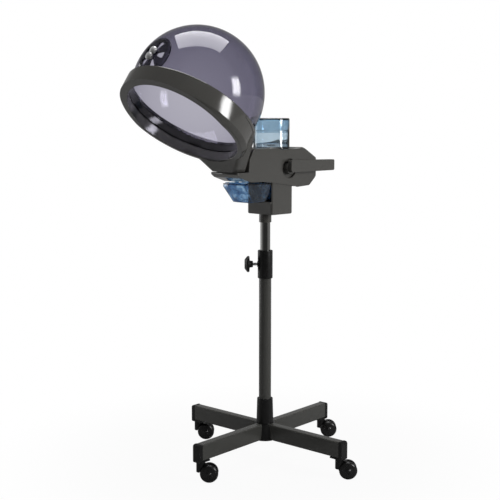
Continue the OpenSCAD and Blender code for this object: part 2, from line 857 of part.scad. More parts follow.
// Cap on the end of the steam pipe, open at its sides, hidden behind the drip ring
module steam_diffuser() {
    r = pipe_d / 2 + seat_gap / 2;
    length = 9;
    grip = 3.2;
    front_t = 1.4;
    slot_h = length - front_t - grip;
    color(black) on_hood() on_pipe() translate([0, 0, pipe_in - grip]) difference() {
        cylinder(r = r + 2, h = length);
        translate([0, 0, -1]) cylinder(r = r, h = length - front_t + 1);
        for (turn = [0, 90])
            rotate(turn) translate([0, 0, grip + slot_h / 2]) cube([4 * pipe_d, 6, slot_h], center = true);
    }
}

// Dish under the tank, fitted between the two walls of the arm
module tank_seat() {
    seat_t = 4;
    side_gap = 0.7;
    color(charcoal) difference() {
        intersection() {
            translate([0, tank_y, seat_z - 0.3 - seat_t]) cylinder(r = flange_r + 3, h = seat_t);
            translate([-inner_x + side_gap, -200, seat_z - 20]) cube([2 * (inner_x - side_gap), 400, 40]);
        }
        translate([0, tank_y, seat_z - 20]) cylinder(d = 20, h = 40);
    }
}

// Valve body under the tank with its tube to the boiler
module feed_tube() {
    z = boiler_z + boiler_h - 14;
    color(steel) difference() {
        union() {
            translate([0, tank_y, z - 6]) cylinder(d = 19.6, h = seat_z + 2.5 - z + 6);
            translate([0, tank_y, z]) rotate([90, 0, 0])
                cylinder(d = 8, h = tank_y - boiler_y - boiler_r + 5);
        }
        translate([0, tank_y, z]) cylinder(d = 6, h = 60);
        translate([0, tank_y, z]) rotate([90, 0, 0]) cylinder(d = 5, h = 150);
    }
}

// Water tank

module water_tank() {
    r = tank_d / 2;
    z0 = seat_z;
    z1 = lid_z - seat_gap;
    hole = 10.5;
    cup = [[hole, z0, 0.5], [flange_r, z0, 1], [flange_r, z0 + flange_t, 1.5], [r, z0 + flange_t + 1, 0.8],
        [r, z1, 0.8], [r - tank_wall, z1, 0.8], [r - tank_wall, z0 + flange_t, 3],
        [hole + 5, z0 + flange_t, 1], [hole, z0 + flange_t - 1.5, 0.6]];
    color("#a9c6d8", 0.6) translate([0, tank_y, 0]) rotate_extrude($fn = 96) polygon(rounded(cup));
}

module tank_lid() {
    r = tank_d / 2;
    z1 = lid_z + lid_h;
    skirt = 7;
    inner = r - tank_wall - 0.3;
    cap = [[0, z1 - tank_wall, 0.4], [inner - 1.8, z1 - tank_wall, 4], [inner - 1.8, lid_z - skirt, 0.5],
        [inner, lid_z - skirt, 0.5], [inner, lid_z, 0.15], [r, lid_z, 0.8], [r, z1, 5], [0, z1, 0.4]];
    color("#a9c6d8", 0.6) translate([0, tank_y, 0]) rotate_extrude($fn = 96) polygon(rounded(cap));
}

// Hood, drawn about its own axis with the opening at z = 0 and the neck on +Y

module on_hood() {
    translate([0, -hood_reach, hood_z]) rotate([-hood_tilt, 0, 0]) children();
}

// Radius of the dome's outside at a height above the opening
function dome_at(z) = sqrt(dome_r * dome_r - (dome_h - z) * (dome_h - z));

// Section of the ring: solid lip with a bevel, outer wall, ledge and top lip
function ring_section() = [
    [opening_r, 0, 1.5], [ring_r - bevel_r, 0, 3], [ring_r, bevel_h, 6], [ring_r, ring_h, 3],
    [dome_at(ring_h) + 0.4, ring_h, 0.6], [dome_at(rim_z) + 0.4, rim_z + seat_gap, 0.6],
    [ring_r - ring_wall, rim_z + seat_gap, 0.6], [ring_r - ring_wall, rim_z - 3, 0.6],
    [ring_r - 2 * ring_wall, rim_z - 3, 0.6], [ring_r - 2 * ring_wall, rim_z - 6, 0.6],
    [ring_r - ring_wall, rim_z - 10, 0.6], [ring_r - ring_wall, lip_h, 2], [opening_r, lip_h, 0.8]];

// Everything under the lip where it rises towards the front
module below_lip() {
    rotate([-lip_turn, 0, 0]) translate([-2 * ring_r, -2 * ring_r, -ring_h])
        cube([4 * ring_r, 2 * ring_r, ring_h]);
}

// Gutter in the lip, open at the top, with a floor that follows the rise of the lip
module gutter() {
    wide_r = ring_r - ring_wall - 1;
    top = lip_h + 1;
    difference() {
        rotate_extrude($fn = 128) polygon([[gutter_r, gutter_t], [ring_r - bevel_r - 1, gutter_t],
            [wide_r, bevel_h + 5], [wide_r, top], [gutter_r, top]]);
        translate([0, 0, gutter_t]) below_lip();
    }
}

// Slice of a disc at the back of the ring, within an angle of the neck
module neck_seat(r, z0, z1, half) {
    intersection() {
        translate([0, 0, z0]) cylinder(r = r, h = z1 - z0);
        translate([-r, r * cos(half), z0]) cube([2 * r, r, z1 - z0]);
    }
}

// Upper edge of the cradle round the back of the ring, flush with the ring at its ends
module cradle() {
    translate([0, cradle_t, 0]) neck_seat(ring_r, ring_h - 8, ring_h - 1, cradle_half);
}

// Neck that widens from its foot on the nose to the cradle
module neck_block() {
    front = nose_reach - 2;
    back = arm_front + 2.5;
    foot = nose_z + neck_gap;
    hull() {
        translate([0, -(front + back) / 2, foot]) linear_extrude(10)
            round_rect(2 * neck_half, front - back, 12);
        on_hood() neck_seat(opening_r + 1, 0, 4, chin_half);
        on_hood() cradle();
    }
    translate([-30, -front + 8, nose_z]) cube([60, front - back - 14, neck_gap + 1]);
}

// Room inside the ring and under its opening that the neck leaves free
module hood_room() {
    far = 2 * ring_r;
    fill_r = ring_r - bevel_r - 1;
    rotate_extrude($fn = 128) polygon([[0, -far], [opening_r + 0.5, -far], [opening_r + 0.5, 1], [fill_r, 1],
        [fill_r, lip_h], [ring_r - 1, lip_h], [ring_r - 1, far], [0, far]]);
}

module hood_ring() {
    color(charcoal) difference() {
        union() {
            on_hood() rotate_extrude($fn = 128) polygon(rounded(ring_section()));
            difference() {
                neck_block();
                on_hood() hood_room();
            }
        }
        on_hood() gutter();
        on_hood() below_lip();
        on_hood() on_pipe() translate([0, 0, -2 * pipe_root])
            cylinder(d = pipe_d + 2 * seat_gap, h = 2 * pipe_root + pipe_in);
    }
}

// Inner ring that carries the dome and drips into the gutter
module drip_ring() {
    top = rim_z;
    section = [[drip_r, drip_z, 0.8], [drip_r + 2.4, drip_z, 0.8], [drip_r + 2.4, top - 2.8, 2],
        [ring_r - ring_wall - 0.3, top - 2.8, 0.5], [ring_r - ring_wall - 0.3, top, 0.5],
        [drip_r, top, 0.8]];
    color(charcoal) on_hood() rotate_extrude($fn = 128) polygon(rounded(section));
}

// Frame of the vent: origin at the dome's centre, Z out through the vent
module on_vent() {
    on_hood() translate([0, 0, dome_h]) rotate([90 - vent_rise, 0, 0]) children();
}

module hood_dome() {
    color("#8d879c", 0.5) difference() {
        on_hood() difference() {
            translate([0, 0, dome_h]) sphere(dome_r, $fn = 128);
            translate([0, 0, dome_h]) sphere(dome_r - dome_wall, $fn = 128);
            translate([0, 0, rim_z + 0.3 - 200]) cylinder(r = 2 * dome_r, h = 200);
        }
        on_vent() cylinder(r = hole_r, h = 2 * dome_r);
    }
}

// Part of a spherical shell within a radius of the vent axis
module vent_shell(r0, r1, reach) {
    intersection() {
        difference() {
            sphere(r1, $fn = 128);
            sphere(r0, $fn = 128);
        }
        cylinder(r = reach, h = 2 * dome_r);
    }
}

// Sector openings of the vent between two radii
module vent_openings() {
    half = 90 / vent_count;
    inner = 13;
    outer = hole_r - 3;
    wedge = 2 * outer * tan(half - 1);
    for (i = [0 : vent_count - 1])
        rotate(360 * i / vent_count) linear_extrude(2 * dome_r) intersection() {
            difference() {
                circle(outer);
                circle(inner);
            }
            polygon([[0, 0], [2 * outer, -wedge], [2 * outer, wedge]]);
        }
}

module vent_frame() {
    color(black) difference() {
        on_vent() difference() {
            vent_shell(dome_r + 0.3, dome_r + 0.3 + vent_t, vent_r);
            vent_openings();
            cylinder(r = 4 + run_gap, h = 2 * dome_r);
        }
        on_hood() cylinder(r = 2 * ring_r, h = ring_h + move_gap);
    }
}

module vent_shutter() {
    color(black) on_vent() {
        difference() {
            vent_shell(dome_r - 2.6, dome_r - 0.3, hole_r - 1.5);
            vent_openings();
        }
        translate([0, 0, dome_r - 1]) cylinder(r = 4, h = vent_t + 4);
    }
}

// Two-lobed turning knob of the vent
module vent_knob() {
    lobe = 10.5;
    lobe_turn = 70;
    z = dome_r + vent_t + 1;
    profile = [[0, 0, 0.3], [lobe, 0, 1], [lobe, 8, 4], [0, 11, 0.3]];
    color(steel) on_vent() translate([0, 0, z]) difference() {
        union() {
            for (side = [0, 180])
                rotate(lobe_turn + side) translate([0.82 * lobe, 0, 0])
                    rotate_extrude() polygon(rounded(profile));
            cylinder(r = 6, h = 7);
        }
        translate([0, 0, -1]) cylinder(r = 4 + seat_gap / 2, h = 4.2);
    }
}

// Controls on the left wall

module timer_body() {
    color(black) translate([-inner_x, timer_y, timer_z]) {
        pin_x(18, seat_gap, 26);
        pin_x(4.8, -arm_wall - 0.1, 1);
        pin_x(3, -arm_wall - 9, 1);
    }
}

module timer_knob() {
    knob = [[0, 0, 0.3], [17, 0, 1], [16, 4, 1], [12, 5, 1.5], [10.5, 15, 2], [0, 15, 0.3]];
    color(black) translate([-wall_x - move_gap, timer_y, timer_z]) difference() {
        union() {
            rotate([0, -90, 0]) rotate_extrude() polygon(rounded(knob));
            translate([-17, -2.5, -15]) cube([12, 5, 30]);
        }
        pin_x(3 + run_gap, -9, 1);
    }
}

module switch_frame() {
    bezel = 1.5;
    wall = 1.6;
    depth = 19.4;
    color(black) translate([-wall_x, switch_y, switch_z]) difference() {
        union() {
            translate([depth / 2 - bezel, 0, 0]) cube([depth, switch_w, switch_h], center = true);
            translate([-bezel / 2 - 0.1, 0, 0]) cube([bezel, switch_w + 4, switch_h + 4], center = true);
        }
        cube([24, switch_w - 2 * wall, switch_h - 2 * wall], center = true);
        rocker_pin(1 + run_gap, switch_h - 0.8);
    }
}

// Pivot of the rocker, upright through the switch
rocker_x = 4;
module rocker_pin(r, h) {
    translate([rocker_x, 0, 0]) cylinder(r = r, h = h, center = true);
}

// Rocker at rest in its off position
module power_switch() {
    half_l = switch_w / 2 - 3.2;
    off_turn = -7;
    rocker = [[-2.6, half_l, 1], [-1, 0, 10], [-2.6, -half_l, 1], [6, -half_l + 2, 1], [6, half_l - 2, 1]];
    color("#7a1f1c") translate([-wall_x, switch_y, switch_z]) {
        translate([rocker_x, 0, 0]) rotate(off_turn) translate([-rocker_x, 0, 0])
            linear_extrude(switch_h - 4.4, center = true) polygon(rounded(rocker));
        rocker_pin(1, switch_h - 1.6);
    }
}

module pilot_lamp() {
    lens = [[0, -6, 0.3], [3.9, -6, 0.5], [3.9, 0.1, 0.2], [5, 0.1, 0.3], [5, 1.5, 0.6], [3.2, 3.4, 1.5],
        [0, 3.4, 0.3]];
    color("#b5301f") translate([-wall_x, lamp_y, switch_z]) rotate([0, -90, 0]) rotate_extrude()
        polygon(rounded(lens));
}

base_hub();
leg(0);  // leg_right
leg(1);  // leg_rear
leg(2);  // leg_left
leg(3);  // leg_front
leg_end_caps();
lower_post();
post_bush();
clamp_collar();
clamp_knob();
clamp_screw();
caster_fork(0);  // caster_fork_right
caster_fork(1);  // caster_fork_rear
caster_fork(2);  // caster_fork_left
caster_fork(3);  // caster_fork_front
caster_axle(0);  // caster_axle_right
caster_axle(1);  // caster_axle_rear
caster_axle(2);  // caster_axle_left
caster_axle(3);  // caster_axle_front
caster_wheels(0);  // caster_wheels_right
caster_wheels(1);  // caster_wheels_rear
caster_wheels(2);  // caster_wheels_left
caster_wheels(3);  // caster_wheels_front
inner_post();
inner_foot();
box_shell();
rear_cover();
cover_screws();
cord_gland();
tilt_bracket();
tilt_shaft();
friction_washers();
drip_cup();
arm_shell_right();
arm_shell_left();
arm_screws();
boiler();
boiler_lid();
heater_element();
thermostat();
steam_pipe();
steam_diffuser();
tank_seat();
feed_tube();
hood_ring();
drip_ring();
hood_dome();
vent_frame();
vent_shutter();
vent_knob();
tilt_lever();
water_tank();
tank_lid();
timer_body();
timer_knob();
switch_frame();
power_switch();
pilot_lamp();
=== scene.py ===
import json
from math import asin, cos, pi, radians, sin

import bmesh
import bpy
from mathutils import Matrix, Vector


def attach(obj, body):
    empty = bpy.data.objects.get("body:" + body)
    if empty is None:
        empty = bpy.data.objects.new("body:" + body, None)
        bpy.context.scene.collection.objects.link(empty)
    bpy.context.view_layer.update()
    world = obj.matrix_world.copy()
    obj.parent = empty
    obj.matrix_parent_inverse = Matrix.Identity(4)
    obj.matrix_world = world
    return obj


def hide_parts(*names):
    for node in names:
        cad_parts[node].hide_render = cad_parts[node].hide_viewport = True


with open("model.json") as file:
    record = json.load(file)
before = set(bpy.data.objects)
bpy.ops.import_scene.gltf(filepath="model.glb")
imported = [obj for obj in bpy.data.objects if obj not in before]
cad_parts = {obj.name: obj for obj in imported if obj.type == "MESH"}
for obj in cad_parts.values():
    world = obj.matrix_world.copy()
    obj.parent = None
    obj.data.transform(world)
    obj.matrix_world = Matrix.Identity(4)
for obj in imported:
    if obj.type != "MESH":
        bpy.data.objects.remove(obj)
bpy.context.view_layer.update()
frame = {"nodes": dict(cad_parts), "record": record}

# Sizes of the hood and the lower box, in metres

MM = 0.001
HOOD_TILT = radians(34.3)
RING_R = 180 * MM
RING_H = 62 * MM
# The ring's upper back edge in front of the mast, and its lower back edge over the floor
RING_BACK_Y = 129.4 * MM
RING_BACK_Z = 853.3 * MM
# The rim inside the ring that carries the dome, and the dome's foot just over it
RIM_Z = RING_H - 12 * MM
DOME_FOOT = RIM_Z + 0.3 * MM
DOME_R = 174.5 * MM
# The dome's centre over the opening
DOME_H = 106 * MM
DOME_WALL = 3 * MM
DOME_STEPS = 80
VENT_R = 53 * MM
VENT_HOLE_R = VENT_R - 11 * MM
# How far the vent reaches down behind the ring, and the rise of its axis that this gives
VENT_DROP = 17 * MM
VENT_RISE = asin((RING_H + VENT_R - VENT_DROP - DOME_H) / DOME_R)
BOX_Z = 710 * MM
BOX_ROUND = 5 * MM
NECK_R = 17.5 * MM

# Sizes of the tank and its lid, in millimetres

TANK_Y = 24
TANK_R = 51
TANK_WALL = 2.5
TANK_HOLE = 10.5
SEAT_Z = 892
FLANGE_R = TANK_R + 2.8
FLANGE_T = 5
LID_Z = 944
LID_GAP = 0.2
LID_TOP = LID_Z + 34
LID_PLATE = 5
SKIRT_R = TANK_R - TANK_WALL - 0.3
SKIRT_WALL = 1.8
SKIRT_DROP = 7
TANK_STEPS = 128

# Camera, in metres and radians, fitted to the object's own lines in the photograph

CAMERA_PLACE = (1.9825, -2.0435, 0.9678)
CAMERA_TURN = pi / 4
CAMERA_DROP = 0.126
LENS_MM = 72.86
SENSOR_MM = 36
# Level direction from the camera past the object
BEHIND = (-sin(CAMERA_TURN), cos(CAMERA_TURN), 0.0)

# Frames: the hood about its own axis, with the opening at z = 0, and the vent with z out of the dome
HOOD_Y = -(RING_BACK_Y + RING_R * cos(HOOD_TILT) + RING_H * sin(HOOD_TILT))
HOOD_Z = RING_BACK_Z + RING_R * sin(HOOD_TILT)
HOOD = Matrix.Translation((0, HOOD_Y, HOOD_Z)) @ Matrix.Rotation(-HOOD_TILT, 4, "X")
VENT = HOOD @ Matrix.Translation((0, 0, DOME_H)) @ Matrix.Rotation(pi / 2 - VENT_RISE, 4, "X")


def linear(code):
    """Linear colour of an sRGB hex code."""
    shades = [int(code[i:i + 2], 16) / 255 for i in (1, 3, 5)]
    return tuple(c / 12.92 if c <= 0.04045 else ((c + 0.055) / 1.055) ** 2.4 for c in shades) + (1.0,)


WHITE = linear("#ffffff")


def add(tree, kind, inputs=None, **settings):
    """A node with its settings; each input is a value, or the socket that feeds it."""
    node = tree.nodes.new(kind)
    for name, value in settings.items():
        setattr(node, name, value)
    for name, value in (inputs or {}).items():
        if isinstance(value, bpy.types.NodeSocket):
            tree.links.new(value, node.inputs[name])
        else:
            node.inputs[name].default_value = value
    return node


def blank(name):
    """An empty material and its node tree."""
    material = bpy.data.materials.new(name)
    material.use_nodes = True
    material.node_tree.nodes.clear()
    return material, material.node_tree


# Materials


def satin_abs(name, dark, light, gloss, ior):
    """ABS moulded in a finely eroded tool: an even satin sheen, with faint clouds in tone and gloss."""
    material, tree = blank(name)
    place = add(tree, "ShaderNodeTexCoord")
    # The eroded grain is drawn coarser than it is, so that it shows
    grain = add(tree, "ShaderNodeTexNoise",
                {"Vector": place.outputs["Object"], "Scale": 1 / (0.9 * MM), "Detail": 2.0})
    cloud = add(tree, "ShaderNodeTexNoise",
                {"Vector": place.outputs["Object"], "Scale": 1 / (55 * MM), "Detail": 4.0})
    tone = add(tree, "ShaderNodeMix", {"Factor": cloud.outputs["Fac"], "A": linear(dark), "B": linear(light)},
               data_type="RGBA")
    sheen = add(tree, "ShaderNodeMapRange",
                {"Value": cloud.outputs["Fac"], "From Min": 0.3, "From Max": 0.7,
                 "To Min": gloss - 0.03, "To Max": gloss + 0.04})
    pits = add(tree, "ShaderNodeBump",
               {"Height": grain.outputs["Fac"], "Strength": 0.12, "Distance": 0.06 * MM})
    skin = add(tree, "ShaderNodeBsdfPrincipled",
               {"Base Color": tone.outputs["Result"], "Roughness": sheen.outputs["Result"], "IOR": ior,
                "Normal": pits.outputs["Normal"]})
    add(tree, "ShaderNodeOutputMaterial", {"Surface": skin.outputs["BSDF"]})
    return material


def powder_coat(name, dark, light):
    """Steel tube with a baked powder coat: dark grey, half gloss, with a fine orange peel."""
    material, tree = blank(name)
    place = add(tree, "ShaderNodeTexCoord")
    peel = add(tree, "ShaderNodeTexNoise",
               {"Vector": place.outputs["Object"], "Scale": 1 / (2.2 * MM), "Detail": 1.0})
    cloud = add(tree, "ShaderNodeTexNoise",
                {"Vector": place.outputs["Object"], "Scale": 1 / (80 * MM), "Detail": 3.0})
    tone = add(tree, "ShaderNodeMix", {"Factor": cloud.outputs["Fac"], "A": linear(dark), "B": linear(light)},
               data_type="RGBA")
    dimples = add(tree, "ShaderNodeBump",
                  {"Height": peel.outputs["Fac"], "Strength": 0.18, "Distance": 0.03 * MM})
    skin = add(tree, "ShaderNodeBsdfPrincipled",
               {"Base Color": tone.outputs["Result"], "Roughness": 0.24, "IOR": 1.5,
                "Normal": dimples.outputs["Normal"]})
    add(tree, "ShaderNodeOutputMaterial", {"Surface": skin.outputs["BSDF"]})
    return material


def black_nylon(name, dark, light, gloss, ior):
    """Nylon moulded black: deep in colour, smooth, with faint scuffs in tone and gloss."""
    material, tree = blank(name)
    place = add(tree, "ShaderNodeTexCoord")
    scuff = add(tree, "ShaderNodeTexNoise",
                {"Vector": place.outputs["Object"], "Scale": 1 / (9 * MM), "Detail": 5.0, "Roughness": 0.65})
    tone = add(tree, "ShaderNodeMix", {"Factor": scuff.outputs["Fac"], "A": linear(dark), "B": linear(light)},
               data_type="RGBA")
    sheen = add(tree, "ShaderNodeMapRange",
                {"Value": scuff.outputs["Fac"], "From Min": 0.35, "From Max": 0.7,
                 "To Min": gloss, "To Max": gloss + 0.12})
    skin = add(tree, "ShaderNodeBsdfPrincipled",
               {"Base Color": tone.outputs["Result"], "Roughness": sheen.outputs["Result"], "IOR": ior})
    add(tree, "ShaderNodeOutputMaterial", {"Surface": skin.outputs["BSDF"]})
    return material


def clear_plastic(name, ior, absorbs, density, gloss, wave_mm, depth_mm=0.012, painted_patches="#ffffff"):
    """Clear tinted plastic: polished, with flow waves whose hollows may be tinted darker, as painted patches
    of inner reflection and shade.

    The tint is in the wall, so it is strongest where the wall is looked along."""
    material, tree = blank(name)
    place = add(tree, "ShaderNodeTexCoord")
    wave = add(tree, "ShaderNodeTexNoise",
               {"Vector": place.outputs["Object"], "Scale": 1 / (wave_mm * MM), "Detail": 1.0})
    flow = add(tree, "ShaderNodeBump",
               {"Height": wave.outputs["Fac"], "Strength": 1.0, "Distance": depth_mm * MM})
    # Mask of the painted patches of inner reflection and shade, in the waves' hollows
    painted_patch_mask = add(tree, "ShaderNodeMapRange",
               {"Value": wave.outputs["Fac"], "From Min": 0.42, "From Max": 0.58},
               interpolation_type="SMOOTHSTEP")
    tone = add(tree, "ShaderNodeMix", {"Factor": painted_patch_mask.outputs["Result"], "A": linear(painted_patches), "B": WHITE},
               data_type="RGBA")
    skin = add(tree, "ShaderNodeBsdfPrincipled",
               {"Base Color": tone.outputs["Result"], "Roughness": gloss, "IOR": ior,
                "Transmission Weight": 1.0, "Normal": flow.outputs["Normal"]})
    tint = add(tree, "ShaderNodeVolumeAbsorption", {"Color": linear(absorbs), "Density": density})
    add(tree, "ShaderNodeOutputMaterial", {"Surface": skin.outputs["BSDF"], "Volume": tint.outputs["Volume"]})
    return material


def plated(name, shade, gloss, streak_mm, metal=1.0):
    """Plated, drawn or lacquered metal: smooth along the draw, with fine streaks in its gloss."""
    material, tree = blank(name)
    place = add(tree, "ShaderNodeTexCoord")
    drawn = add(tree, "ShaderNodeMapping",
                {"Vector": place.outputs["Object"], "Scale": (1.0, 1.0, 0.06)})
    streak = add(tree, "ShaderNodeTexNoise",
                 {"Vector": drawn.outputs["Vector"], "Scale": 1 / (streak_mm * MM), "Detail": 3.0})
    sheen = add(tree, "ShaderNodeMapRange",
                {"Value": streak.outputs["Fac"], "From Min": 0.3, "From Max": 0.7,
                 "To Min": gloss, "To Max": gloss + 0.1})
    skin = add(tree, "ShaderNodeBsdfPrincipled",
               {"Base Color": linear(shade), "Metallic": metal, "Roughness": sheen.outputs["Result"]})
    add(tree, "ShaderNodeOutputMaterial", {"Surface": skin.outputs["BSDF"]})
    return material


def red_lens(name, shade):
    """Polycarbonate in red: smooth and slightly see-through."""
    material, tree = blank(name)
    place = add(tree, "ShaderNodeTexCoord")
    wear = add(tree, "ShaderNodeTexNoise",
               {"Vector": place.outputs["Object"], "Scale": 1 / (4 * MM), "Detail": 2.0})
    sheen = add(tree, "ShaderNodeMapRange",
                {"Value": wear.outputs["Fac"], "To Min": 0.18, "To Max": 0.34})
    skin = add(tree, "ShaderNodeBsdfPrincipled",
               {"Base Color": linear(shade), "Roughness": sheen.outputs["Result"], "IOR": 1.58,
                "Transmission Weight": 0.15})
    add(tree, "ShaderNodeOutputMaterial", {"Surface": skin.outputs["BSDF"]})
    return material


CHARCOAL = satin_abs("charcoal ABS, satin moulded", "#4b4a47", "#4f4e4b", gloss=0.12, ior=1.62)
# The drip ring's charcoal ABS is coloured darker than the ring's own, as painted shade inside the hood
PAINTED_SHADE_LINER = satin_abs("charcoal ABS, polished, darkened as painted shade", "#1c1b1a", "#22211f", gloss=0.1, ior=1.5)
GREY_COAT = powder_coat("grey powder coat on steel", "#464643", "#4b4b48")
BLACK = black_nylon("black nylon, satin moulded", "#0b0b0b", "#121212", gloss=0.3, ior=1.4)
WHEEL = black_nylon("black nylon, gloss moulded", "#0f0f0f", "#161515", gloss=0.24, ior=1.45)
SMOKED = clear_plastic("smoked acrylic, blown", ior=1.44, absorbs="#5d5187", density=315, gloss=0.02,
                       wave_mm=60)
VENT_SMOKE = clear_plastic("smoked acrylic, moulded", ior=1.49, absorbs="#5d557c", density=560, gloss=0.05,
                           wave_mm=40)
TANK_BLUE = clear_plastic("light blue SAN, moulded", ior=1.57, absorbs="#389cbe", density=170, gloss=0.02,
                          wave_mm=90)
# The cup's darker wave hollows are painted patches of inner reflection and shade
CUP_BLUE = clear_plastic("deep blue SAN, moulded", ior=1.57, absorbs="#3fa2cb", density=360, gloss=0.03,
                         wave_mm=24, depth_mm=1.6, painted_patches="#89aac4")
DARK_PLATE = plated("black chrome on steel tube", "#868684", gloss=0.08, streak_mm=1.2)
SILVER = plated("silver lacquer on a moulded knob", "#c9c9ca", gloss=0.3, streak_mm=1.0, metal=0.5)
ZINC = plated("zinc plate on steel", "#a9aaab", gloss=0.34, streak_mm=0.8)
STAINLESS = plated("stainless steel, drawn", "#b4b2ae", gloss=0.26, streak_mm=0.8)
SHEATH = plated("heater sheath, blued by heat", "#5a534d", gloss=0.42, streak_mm=0.8)
ROCKER_RED = red_lens("red polycarbonate, moulded", "#6d1512")
LAMP_RED = red_lens("red polycarbonate lens", "#a32016")


# Making pieces

# Degrees from which an edge counts as sharp, on turned pieces and on copies of CAD nodes
TURNED_SHARP = 30
CAD_SHARP = 28


def finish(mesh, name, material, body, sharp=TURNED_SHARP):
    """The object of a finished mesh: shaded smooth up to a sharp angle, riding on its body."""
    mesh.shade_smooth()
    mesh.set_sharp_from_angle(angle=radians(sharp))
    mesh.materials.clear()
    mesh.materials.append(material)
    piece = bpy.data.objects.new(name, mesh)
    bpy.context.scene.collection.objects.link(piece)
    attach(piece, body)
    return piece


def to_mesh(bm, name):
    """The mesh of a finished bmesh, which is freed."""
    mesh = bpy.data.meshes.new(name)
    bm.to_mesh(mesh)
    bm.free()
    return mesh


def lathe(corners, whole=True):
    """A bmesh spun about the tank's axis from (radius, height, rounding) corners in millimetres.

    whole closes the outline; without it, the outline starts and ends on the axis."""
    bm = bmesh.new()
    wire = [bm.verts.new((r * MM, 0, z * MM)) for r, z, _ in corners]
    for pair in zip(wire, wire[1:] + wire[:1] if whole else wire[1:]):
        bm.edges.new(pair)
    for vert, (_, _, rounding) in zip(wire, corners):
        if rounding:
            bmesh.ops.bevel(bm, geom=[vert], offset=rounding * MM, offset_type="OFFSET", affect="VERTICES",
                            segments=4, profile=0.5, material=-1)
    bmesh.ops.spin(bm, geom=bm.verts[:] + bm.edges[:], cent=(0, 0, 0), axis=(0, 0, 1), angle=2 * pi,
                   steps=TANK_STEPS, use_merge=True)
    bmesh.ops.remove_doubles(bm, verts=bm.verts, dist=0.001 * MM)
    bmesh.ops.recalc_face_normals(bm, faces=bm.faces)
    bmesh.ops.translate(bm, vec=(0, TANK_Y * MM, 0), verts=bm.verts)
    return bm


def box_floor_edge(bm):
    """Round the outline of the lower box's floor, outside the neck under it."""

    def on_outline(vert):
        return abs(vert.co.z - BOX_Z) < 0.1 * MM and vert.co.xy.length > 1.2 * NECK_R

    bm.normal_update()
    outline = [edge for edge in bm.edges
               if edge.calc_face_angle(0) > radians(60) and all(on_outline(vert) for vert in edge.verts)]
    bmesh.ops.bevel(bm, geom=outline, offset=BOX_ROUND, offset_type="OFFSET", affect="EDGES",
                    segments=6, profile=0.5, material=-1, clamp_overlap=False)


def softened(node, body, material, edge_mm):
    """A copy of a CAD node with its triangles merged and its edges rounded, which stands for the node."""
    bm = bmesh.new()
    bm.from_mesh(frame["nodes"][node].data)
    bmesh.ops.remove_doubles(bm, verts=bm.verts, dist=0.01 * MM)
    bmesh.ops.dissolve_limit(bm, angle_limit=radians(0.4), verts=bm.verts, edges=bm.edges)
    if node == "box_shell":
        box_floor_edge(bm)
    piece = finish(to_mesh(bm, node + "_skin"), node + "_skin", material, body, CAD_SHARP)
    if edge_mm:
        rounding = piece.modifiers.new("rounded edges", "BEVEL")
        rounding.width = edge_mm * MM
        rounding.segments = 3
        rounding.limit_method = "ANGLE"
        rounding.angle_limit = radians(CAD_SHARP)
        rounding.harden_normals = True
    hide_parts(node)


def dome_shell():
    """Blown dome: a sphere's skin spun about the vent, cut off level where the ring holds it."""
    start = asin(VENT_HOLE_R / DOME_R)
    bm = bmesh.new()
    first = bm.verts.new((VENT_HOLE_R, 0, DOME_R * cos(start)))
    bmesh.ops.spin(bm, geom=[first], cent=(0, 0, 0), axis=(0, 1, 0), angle=pi - start, steps=DOME_STEPS)
    bmesh.ops.spin(bm, geom=bm.verts[:] + bm.edges[:], cent=(0, 0, 0), axis=(0, 0, 1), angle=2 * pi,
                   steps=2 * DOME_STEPS, use_merge=True)
    bmesh.ops.remove_doubles(bm, verts=bm.verts, dist=0.01 * MM)
    bmesh.ops.recalc_face_normals(bm, faces=bm.faces)
    bmesh.ops.transform(bm, matrix=VENT, verts=bm.verts)
    bmesh.ops.bisect_plane(bm, geom=bm.verts[:] + bm.edges[:] + bm.faces[:], clear_inner=True,
                           plane_co=HOOD @ Vector((0, 0, DOME_FOOT)),
                           plane_no=HOOD.to_3x3() @ Vector((0, 0, 1)))
    piece = finish(to_mesh(bm, "dome_shell"), "dome_shell", SMOKED, "arm")
    wall = piece.modifiers.new("wall", "SOLIDIFY")
    wall.thickness = DOME_WALL
    wall.offset = -1
    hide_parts("hood_dome")


def tank_body():
    """Clear tank with a base flange, and a floor that dips to its outlet hole."""
    bore = TANK_R - TANK_WALL
    floor = SEAT_Z + FLANGE_T
    rim = LID_Z - LID_GAP
    bm = lathe([(TANK_HOLE, SEAT_Z, 0.5), (FLANGE_R, SEAT_Z, 1), (FLANGE_R, floor, 1.5),
                (TANK_R, floor + 1, 0.8), (TANK_R, rim, 0.8), (bore, rim, 0.8), (bore, floor, 3),
                (TANK_HOLE + 5, floor, 1), (TANK_HOLE, floor - 1.5, 0.6)])
    piece = finish(to_mesh(bm, "tank_body"), "tank_body", TANK_BLUE, "tank")
    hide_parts("water_tank")


def tank_cover():
    """Clear lid: a thick cap whose skirt drops into the tank."""
    inner = SKIRT_R - SKIRT_WALL
    ceiling = LID_TOP - LID_PLATE
    skirt = LID_Z - SKIRT_DROP
    bm = lathe([(0, ceiling, 0), (inner, ceiling, 2), (inner, skirt, 0.5), (SKIRT_R, skirt, 0.5),
                (SKIRT_R, LID_Z, 0.2), (TANK_R, LID_Z, 0.8), (TANK_R, LID_TOP, 3.5), (0, LID_TOP, 0)],
               whole=False)
    piece = finish(to_mesh(bm, "tank_cover"), "tank_cover", TANK_BLUE, "lid")
    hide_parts("tank_lid")


